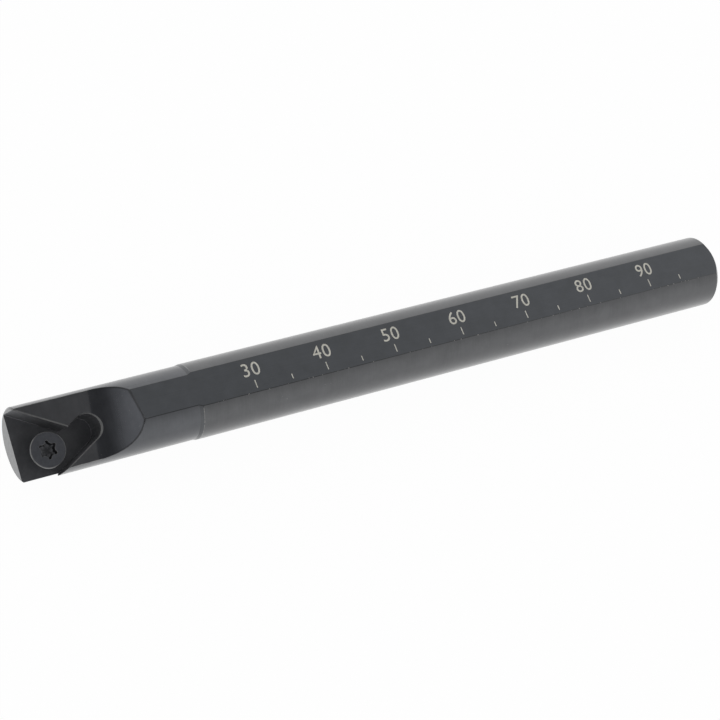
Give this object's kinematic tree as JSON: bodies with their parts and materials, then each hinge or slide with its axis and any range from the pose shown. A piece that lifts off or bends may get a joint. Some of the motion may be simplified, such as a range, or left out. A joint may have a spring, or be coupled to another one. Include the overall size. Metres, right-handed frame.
{
  "type": "threading tool holder",
  "caption": "Small round-shank holder for internal threading, with a tilted triangular insert seat at its nose, a long clamping flat and a screw that clamps the insert.",
  "frame": {"origin": "on the bar's axis at the shoulder where the shank starts", "axes": "+X along the bar to its tail, +Z square to the long flat and up, -Y to the cutting side"},
  "size_m": [0.1016, 0.0096, 0.009],
  "materials": {
    "bar_steel": "satin black oxide on ground and milled steel",
    "screw_steel": "satin black oxide on a machined steel screw"
  },
  "bodies": {
    "holder": {"holder_bar": "bar_steel"},
    "screw": {"insert_screw": "screw_steel"}
  },
  "joints": [
    {"name": "screw_travel", "type": "slide", "parent": "holder", "child": "screw", "axis": [0, -0.225, 0.9744], "range_m": [0, 0.0019]}
  ]
}
